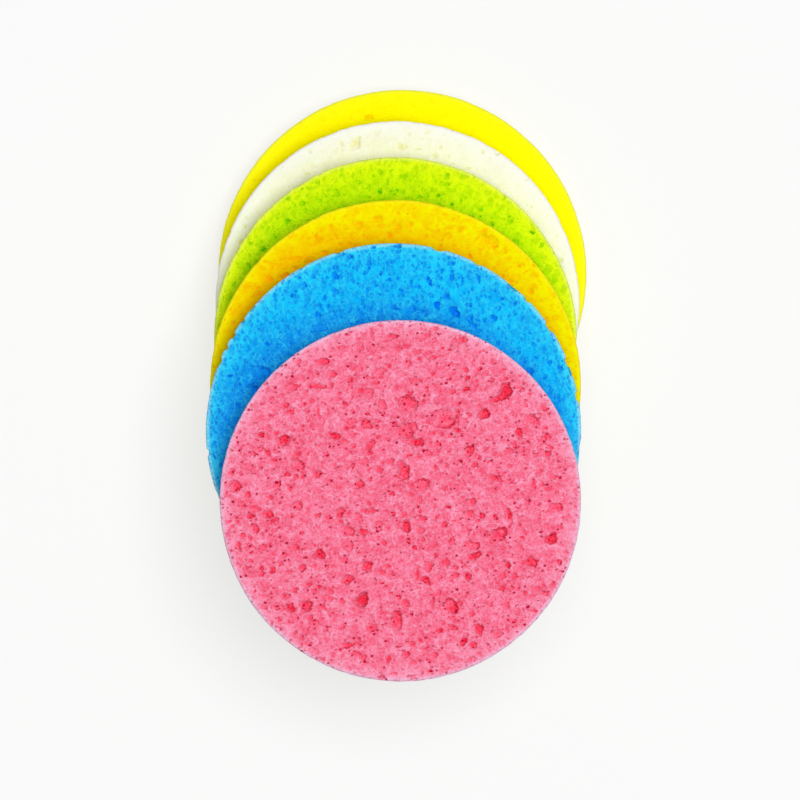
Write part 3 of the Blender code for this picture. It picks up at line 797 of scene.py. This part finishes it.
def face_map(mesh, disc, points, normals):
    """Lays the top face, the underside and the wall side by side on a map."""
    side = MAP_SIDE * disc.radius
    margin = MAP_MARGIN * disc.radius
    corner_vertex = values_of(mesh.loops, "vertex_index", np.int32)
    totals = values_of(mesh.polygons, "loop_total", np.int32)
    face = np.repeat(np.arange(len(totals)), totals)
    place = points[corner_vertex] - np.array([disc.x, disc.y, disc.low])
    facing = normals[face, 2]
    uv = np.empty((len(place), 2))

    top, under = facing > MAP_FACING, facing < -MAP_FACING
    uv[:, 0] = place[:, 0] + disc.radius + margin
    uv[:, 1] = place[:, 1] + disc.radius + margin
    uv[under, 0] = -place[under, 0] + 3 * disc.radius + 3 * margin
    wall = ~(top | under)
    first = np.zeros(len(totals), int)
    first[1:] = np.cumsum(totals)[:-1]
    angle = np.arctan2(place[:, 1], place[:, 0])
    start = angle[first][face]
    turned = start + (angle - start + math.pi) % math.tau - math.pi
    half = math.pi * disc.radius
    strip = np.where(start > 0, 0, 1)
    run = (turned + math.pi * strip) * disc.radius
    uv[wall, 0] = (run * (MAP_STRIP_RUN * disc.radius / half) + 2 * margin)[wall]
    room = disc.thickness * MAP_STRIP_ROOM + 2 * margin
    rise = 2 * disc.radius + 4 * margin + strip * room
    uv[wall, 1] = (rise + place[:, 2] * MAP_STRIP_RISE)[wall]
    layer = mesh.uv_layers.new(name="OFBake")
    layer.uv.foreach_set("vector", (uv / side).astype(np.float32).ravel())


def notch_rim(sponge, disc, points, chance):
    """Pulls the rim inwards in small notches that run up and down the wall."""
    upright = points * np.array([1, 1, NOTCH_RISE])
    notches = smooth(NOTCH_STEEPNESS * waves(upright, NOTCH_SIZE, chance) - NOTCH_START)
    notches *= smooth(GROUP_STEEPNESS * waves(upright, NOTCH_GROUP, chance) - GROUP_START)
    out = disc.out_from_middle(points)
    near_rim = smooth(1 - (disc.radius - out) / NOTCH_FADE)
    flat = points[:, :2] - np.array([disc.x, disc.y])
    pull = NOTCH * sponge.rag * notches * near_rim / np.maximum(out, MM)
    points[:, :2] -= flat * pull[:, None]


def foam_piece(sponge, above):
    """One sponge as a mesh, in the place of its CAD node."""
    disc = Disc(sponge.body)
    chance = random.Random(sponge.seed * SHAPE_SEED)
    mesh = stamped_mesh(disc, above)
    points = values_of(mesh.vertices, "co", float, 3)
    face_map(mesh, disc, points, values_of(mesh.polygons, "normal", float, 3))

    inward = inward_ways(disc, points)
    sideways = np.hypot(inward[:, 0], inward[:, 1])
    cells = all_cells(sponge, disc, above)
    sunk, tint = open_up(sponge, points, cells, VOXEL / 2, chance)
    outline = OUTLINE_WAVE * waves(points, OUTLINE_WAVE_SIZE, chance)
    uneven = FACE_WAVE * waves(points, FACE_WAVE_SIZE, chance)
    uneven += FACE_RAG * waves(points, FACE_RAG_SIZE, chance)
    sunk += sideways * outline + (1 - sideways) * uneven
    points += inward * sunk[:, None]
    notch_rim(sponge, disc, points, chance)

    # The first attribute carries painted shade in the open cells, and the last painted shade
    # beside and under the next sponge
    for name, values in (
        ("cell", tint), ("inset", inset_from_edge(disc, points)),
        ("shade_beside_next", paint_shade_beside(disc, above, points)),
    ):
        attribute = mesh.attributes.new(name, "FLOAT", "POINT")
        attribute.data.foreach_set("value", values.astype(np.float32))
    mesh.vertices.foreach_set("co", points.astype(np.float32).ravel())
    mesh.shade_smooth()
    mesh.update()
    piece = placed(sponge.body + "_foam", mesh)
    mesh.materials.clear()
    mesh.materials.append(cellulose(sponge))
    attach(piece, sponge.body)
    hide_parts(sponge.body + "_sponge")
    return disc


def inset_from_edge(disc, points):
    """How far each vertex is from the nearer stamped edge, in millimetres."""
    inwards = disc.radius - disc.out_from_middle(points)
    below = np.minimum(disc.top - points[:, 2], points[:, 2] - disc.low)
    return np.hypot(inwards, below) / MM


def paint_shade_beside(disc, above, points):
    """Painted shade on a top face, beside and under the sponge that lies on it, for the shade
    that sponge casts. It fades with the distance from that sponge, and faster on the side
    where the light comes in."""
    if not above:
        return np.zeros(len(points))
    flat = points[:, :2] - np.array([above.x, above.y])
    out = np.hypot(flat[:, 0], flat[:, 1])
    light = np.array(LAMP_PLACE.xy.normalized())
    facing = flat @ light / np.maximum(out, MM)
    reach = BESIDE_SHADE_REACH * (1 - BESIDE_SHADE_LEAN * facing)
    gap = out - above.radius
    near = smooth(1 - np.maximum(gap, 0) / reach)
    near *= smooth(1 + np.minimum(gap, 0) / BESIDE_SHADE_INNER)
    near *= 1 - BESIDE_SHADE_SIDES * (1 + facing)
    return near * smooth(1 - (disc.top - points[:, 2]) / BESIDE_SHADE_DEPTH)


def feed(tree, node, inputs):
    """Joins each input of the node, by its number or label, to a socket, or sets it."""
    for label, source in inputs.items():
        if isinstance(source, bpy.types.NodeSocket):
            tree.links.new(source, node.inputs[label])
        else:
            node.inputs[label].default_value = source
    return node


def calc(tree, operation, *values):
    node = tree.nodes.new("ShaderNodeMath")
    node.operation = operation
    return feed(tree, node, dict(enumerate(values))).outputs[0]


def scaled(tree, place, size):
    """The place measured in lengths of this size."""
    node = tree.nodes.new("ShaderNodeVectorMath")
    node.operation = "SCALE"
    per_metre = calc(tree, "DIVIDE", 1.0, size)
    return feed(tree, node, {0: place, "Scale": per_metre}).outputs[0]


def ramp(tree, value, start, end, low=0.0, high=1.0):
    """A smooth step of the value from start to end."""
    node = tree.nodes.new("ShaderNodeMapRange")
    node.interpolation_type = "SMOOTHSTEP"
    return feed(tree, node, {
        "Value": value, "From Min": start, "From Max": end, "To Min": low, "To Max": high,
    }).outputs["Result"]


def noise_at(tree, place, detail, distortion=0.0):
    return feed(tree, tree.nodes.new("ShaderNodeTexNoise"), {
        "Vector": place, "Scale": 1.0, "Detail": detail, "Distortion": distortion,
    }).outputs[0]


def warped(tree, place):
    """The place, led astray by a noise so that no outline is regular."""
    noise = tree.nodes.new("ShaderNodeTexNoise")
    feed(tree, noise, {"Vector": place, "Scale": WARP_SCALE})
    bend = tree.nodes.new("ShaderNodeVectorMath")
    bend.operation = "MULTIPLY_ADD"
    return feed(tree, bend, {
        0: noise.outputs["Color"], 1: (WARP_REACH, WARP_REACH, WARP_REACH), 2: place,
    }).outputs[0]


def voronoi(tree, place, feature):
    node = tree.nodes.new("ShaderNodeTexVoronoi")
    node.feature = feature
    return feed(tree, node, {"Scale": 1.0, "Vector": place})


def lots_drawn(tree, cells):
    """Two chance values for each cell of a Voronoi texture."""
    parts = tree.nodes.new("ShaderNodeSeparateColor")
    feed(tree, parts, {0: cells.outputs["Color"]})
    return parts.outputs[0], parts.outputs[1]


def new_group(name, *numbers):
    """An empty node group that makes a mask out of a place and these numbers, what it is
    given, and its end node."""
    tree = bpy.data.node_groups.new(name, "ShaderNodeTree")
    tree.interface.new_socket("Place", in_out="INPUT", socket_type="NodeSocketVector")
    for label in numbers:
        tree.interface.new_socket(label, in_out="INPUT", socket_type="NodeSocketFloat")
    tree.interface.new_socket("Mask", in_out="OUTPUT", socket_type="NodeSocketFloat")
    given = tree.nodes.new("NodeGroupInput").outputs
    return tree, given, tree.nodes.new("NodeGroupOutput")


def pinholes_group():
    """Small round mouths in the foam, of mixed sizes. Few are dark and many are faint. The
    materials colour them dark, as painted shade.
    """
    tree, given, result = new_group("foam_pinholes", "Spacing", "Mouth", "Rarity")
    place = scaled(tree, given["Place"], given["Spacing"])
    cells = voronoi(tree, warped(tree, place), "F1")
    first, second = lots_drawn(tree, cells)
    wide = calc(tree, "MULTIPLY_ADD", first, MOUTH_DIFFERS, MOUTH_LEAST)
    mouth = calc(tree, "MULTIPLY", wide, given["Mouth"])
    inner = calc(tree, "MULTIPLY", mouth, MOUTH_INNER)
    hole = ramp(tree, cells.outputs["Distance"], mouth, inner)
    strength = calc(tree, "POWER", second, given["Rarity"])
    feed(tree, result, {"Mask": calc(tree, "MULTIPLY", hole, strength)})
    return tree


def web_group():
    """Hollows of mixed depth, side by side, with thin walls of foam between them. The
    materials colour the hollows deeper, as painted shade.
    """
    tree, given, result = new_group("foam_web", "Spacing", "Wall", "Slope")
    place = warped(tree, scaled(tree, given["Place"], given["Spacing"]))
    walls = voronoi(tree, place, "DISTANCE_TO_EDGE")
    first, _ = lots_drawn(tree, voronoi(tree, place, "F1"))
    inner = calc(tree, "ADD", given["Wall"], given["Slope"])
    hollow = ramp(tree, walls.outputs["Distance"], given["Wall"], inner)
    depth = ramp(tree, first, *HOLLOW_DEPTHS)
    feed(tree, result, {"Mask": calc(tree, "MULTIPLY", hollow, depth)})
    return tree


def strands_group():
    """Thin threads of foam that stand between the pores."""
    tree, given, result = new_group("foam_strands", "Size", "Width")
    place = scaled(tree, given["Place"], given["Size"])
    noise = noise_at(tree, place, STRAND_DETAIL, STRAND_BEND)
    ridge = calc(tree, "ABSOLUTE", calc(tree, "SUBTRACT", noise, 0.5))
    feed(tree, result, {"Mask": ramp(tree, ridge, given["Width"], 0.0)})
    return tree


def mottle_group():
    """Cloudy patches in which the foam is a little denser."""
    tree, given, result = new_group("foam_mottle", "Size")
    place = scaled(tree, given["Place"], given["Size"])
    noise = noise_at(tree, place, MOTTLE_DETAIL)
    feed(tree, result, {"Mask": ramp(tree, noise, *MOTTLE_STEP)})
    return tree


GROUPS = {
    "pinholes": pinholes_group(),
    "web": web_group(),
    "strands": strands_group(),
    "mottle": mottle_group(),
}


def effect(tree, name, place, values):
    """One of the shared groups, placed in a material with its own values."""
    node = tree.nodes.new("ShaderNodeGroup")
    node.node_tree = GROUPS[name]
    return feed(tree, node, {"Place": place, **values}).outputs["Mask"]


def blend_colour(tree, factor, first, second):
    node = tree.nodes.new("ShaderNodeMix")
    node.data_type = "RGBA"
    return feed(tree, node, {0: factor, 6: first, 7: second}).outputs[2]


def attribute_of(tree, name):
    node = tree.nodes.new("ShaderNodeAttribute")
    node.attribute_name = name
    return node.outputs["Fac"]


def foam_marks(tree, sponge):
    """Where each mark of the foam shows. Some are drawn out with the foam."""
    plain = tree.nodes.new("ShaderNodeTexCoord").outputs["Object"]
    mapping = tree.nodes.new("ShaderNodeMapping")
    mapping.vector_type = "TEXTURE"
    drawn = feed(tree, mapping, {
        "Vector": plain, "Rotation": (0, 0, math.radians(sponge.turn)),
        "Scale": (sponge.stretch, 1, 1),
    }).outputs[0]
    slope = {"Slope": sponge.softness}
    return SimpleNamespace(
        dots=effect(tree, "pinholes", drawn, DOTS),
        pricks=effect(tree, "pinholes", plain, PRICKS),
        wide_web=effect(tree, "web", drawn, WIDE_WEB | slope),
        fine_web=effect(tree, "web", drawn, FINE_WEB | slope),
        strands=effect(tree, "strands", drawn, STRANDS),
        threads=effect(tree, "strands", plain, THREADS),
        clouds=effect(tree, "mottle", plain, CLOUDS),
        patches=effect(tree, "mottle", plain, PATCHES),
        tufts=effect(tree, "mottle", drawn, TUFTS),
        specks=effect(tree, "mottle", plain, SPECKS),
    )


def foam_colour(tree, sponge, marks):
    """Dyed cellulose: a pale face with strands, and painted shade in its open cells, hollows
    and fine pores and beside the next sponge.
    """
    colours, soft = sponge.colours, sponge.softness
    cell, inset, shade_beside_next = (
        attribute_of(tree, name) for name in ("cell", "inset", "shade_beside_next")
    )

    def product(*masks):
        return calc(tree, "MULTIPLY", *masks)

    strands = product(marks.strands, ramp(tree, marks.tufts, *STRANDS_BY_TUFTS))
    cloudy_tufts = calc(tree, "ADD", marks.tufts, marks.clouds)
    threads = product(marks.threads, ramp(tree, cloudy_tufts, *THREADS_BY_TUFTS))
    fringe = product(ramp(tree, inset, *FRINGE), ramp(tree, marks.specks, *FRINGE_BY_SPECKS))
    lowest = BROKEN_LOW + soft * BROKEN_SOFTENS
    broken = product(cell, ramp(tree, marks.specks, 0.0, 1.0, lowest, BROKEN_HIGH))
    crowd = product(
        ramp(tree, cell, *DOTS_BY_CELLS), ramp(tree, marks.clouds, *DOTS_BY_CLOUDS)
    )
    # Each layer from the first to the last: where it shows, how strongly, and its colour
    layers = (
        # Painted shade beside and under the next sponge
        (shade_beside_next, sponge.dye, colours.cell),
        (marks.clouds, CLOUD_STAIN, colours.pale),
        # Paler foam by the rim, partly a painted highlight where the rim catches the light
        (ramp(tree, inset, *BAND), BAND_STAIN, colours.pale),
        (marks.patches, sponge.web * PATCH_STAIN, colours.cell),
        # Painted shade in the hollows of the wide and the fine web
        (marks.wide_web, sponge.web * WIDE_WEB_STAIN, colours.cell),
        (marks.fine_web, sponge.fine_web * FINE_WEB_STAIN, colours.cell),
        # Painted shade in the fine web's pits beside the next sponge
        (product(marks.fine_web, shade_beside_next), sponge.fine_web * PIT_STAIN, colours.dot),
        (marks.specks, sponge.grain * SPECK_STAIN, colours.pale),
        (marks.tufts, sponge.grain * TUFT_STAIN, colours.pale),
        (strands, sponge.grain * STRAND_STAIN, colours.pale),
        (threads, sponge.grain * THREAD_STAIN, colours.pale),
        # The frayed rim in its edge colour, partly a painted highlight
        (fringe, FRINGE_STAIN, colours.edge),
        # Painted shade in the open cells, deepest at their bottoms
        (ramp(tree, broken, *HOLLOW), HOLLOW_STAIN - soft * HOLLOW_SOFTENS, colours.cell),
        (ramp(tree, broken, *BOTTOM), BOTTOM_STAIN - soft, colours.deep),
        (marks.threads, sponge.grain * CROSSING_STAIN, colours.pale),
        # Painted shade in the pinholes
        (marks.pricks, sponge.pinholes * PRICK_STAIN, colours.deep),
        (product(marks.dots, crowd), sponge.pinholes, colours.dot),
    )
    colour = shade(colours.face)
    for mask, amount, stain in layers:
        colour = blend_colour(tree, product(mask, amount), colour, shade(stain))
    return colour


def foam_relief(tree, sponge, marks):
    """The normal of a surface with the marks that are too fine for the mesh."""
    height = calc(tree, "MULTIPLY", marks.strands, STRAND_RISE)
    for mask, drop in (
        (marks.wide_web, WIDE_WEB_DROP), (marks.fine_web, FINE_WEB_DROP),
        (marks.dots, DOT_DROP), (marks.pricks, PRICK_DROP),
    ):
        height = calc(tree, "SUBTRACT", height, calc(tree, "MULTIPLY", mask, drop))
    height = calc(tree, "ADD", height, calc(tree, "MULTIPLY", marks.specks, SPECK_RISE))
    return feed(tree, tree.nodes.new("ShaderNodeBump"), {
        "Distance": RELIEF, "Strength": sponge.depth * RELIEF_SHARE, "Height": height,
    }).outputs["Normal"]


def cellulose(sponge):
    """The material of one sponge."""
    material = bpy.data.materials.new(sponge.body + "_cellulose")
    material.use_nodes = True
    tree = material.node_tree
    marks = foam_marks(tree, sponge)
    feed(tree, tree.nodes["Principled BSDF"], {
        "Base Color": foam_colour(tree, sponge, marks),
        "Normal": foam_relief(tree, sponge, marks),
        "Roughness": calc(tree, "MULTIPLY_ADD", marks.dots, DOT_ROUGHNESS, FOAM_ROUGHNESS),
        "Specular IOR Level": FOAM_GLOSS,
    })
    return material


def add_lamp():
    """The lamp, as strong as it takes to give a face that looks up its share of the light."""
    lamp = bpy.data.lights.new("soft_lamp", "AREA")
    lamp.shape = "DISK"
    lamp.size = LAMP_SIZE
    far = LAMP_PLACE.length
    tilt = LAMP_PLACE.z / far
    lamp.energy = LAMP_SHARE * math.pi ** 2 * far ** 2 / tilt
    obj = placed("soft_lamp", lamp)
    obj.location = LAMP_PLACE
    obj.rotation_euler = (-LAMP_PLACE).to_track_quat("-Z", "Y").to_euler()


def add_room():
    world = bpy.data.worlds.new("white_room")
    bpy.context.scene.world = world
    world.use_nodes = True
    tree = world.node_tree
    rays = tree.nodes.new("ShaderNodeLightPath").outputs
    seen = calc(tree, "MAXIMUM", rays["Is Camera Ray"], rays["Is Glossy Ray"])
    seen = calc(tree, "MAXIMUM", seen, rays["Is Transmission Ray"])
    feed(tree, tree.nodes["Background"], {
        "Color": WHITE, "Strength": ramp(tree, seen, 0.0, 1.0, ROOM_SHARE, ROOM_SEEN),
    })


def add_floor():
    """White paper. To the camera it is close to blown out, as in the photograph."""
    bm = bmesh.new()
    bmesh.ops.create_grid(
        bm, x_segments=1, y_segments=1, size=FLOOR_SIZE / 2,
        matrix=Matrix.Translation((0, 0, -FLOOR_DROP)),
    )
    mesh = bpy.data.meshes.new("paper")
    bm.to_mesh(mesh)
    bm.free()
    paper = placed("paper", mesh)
    material = bpy.data.materials.new("white_paper")
    material.use_nodes = True
    tree = material.node_tree
    matte = feed(tree, tree.nodes["Principled BSDF"], {
        "Base Color": PAPER, "Roughness": PAPER_ROUGHNESS, "Specular IOR Level": 0.0,
    })
    glow = feed(tree, tree.nodes.new("ShaderNodeEmission"), {"Color": WHITE})
    rays = tree.nodes.new("ShaderNodeLightPath").outputs
    mix = feed(tree, tree.nodes.new("ShaderNodeMixShader"), {
        0: calc(tree, "MULTIPLY", rays["Is Camera Ray"], FLOOR_GLOW),
        1: matte.outputs[0], 2: glow.outputs[0],
    })
    feed(tree, tree.nodes["Material Output"], {"Surface": mix.outputs[0]})
    mesh.materials.append(material)


def add_camera():
    """The camera, unturned, so it looks straight down."""
    data = bpy.data.cameras.new("overhead")
    data.sensor_width = SENSOR
    data.lens = FOCAL_PX * SENSOR / PHOTO_PX
    data.clip_end = CAMERA_REACH
    camera = placed("overhead", data)
    camera.location = CAMERA_PLACE
    bpy.context.scene.camera = camera


add_camera()
add_lamp()
add_room()
add_floor()
above = None
for sponge in reversed(SPONGES):
    above = foam_piece(sponge, above)
bpy.context.scene.view_settings.view_transform = "Standard"
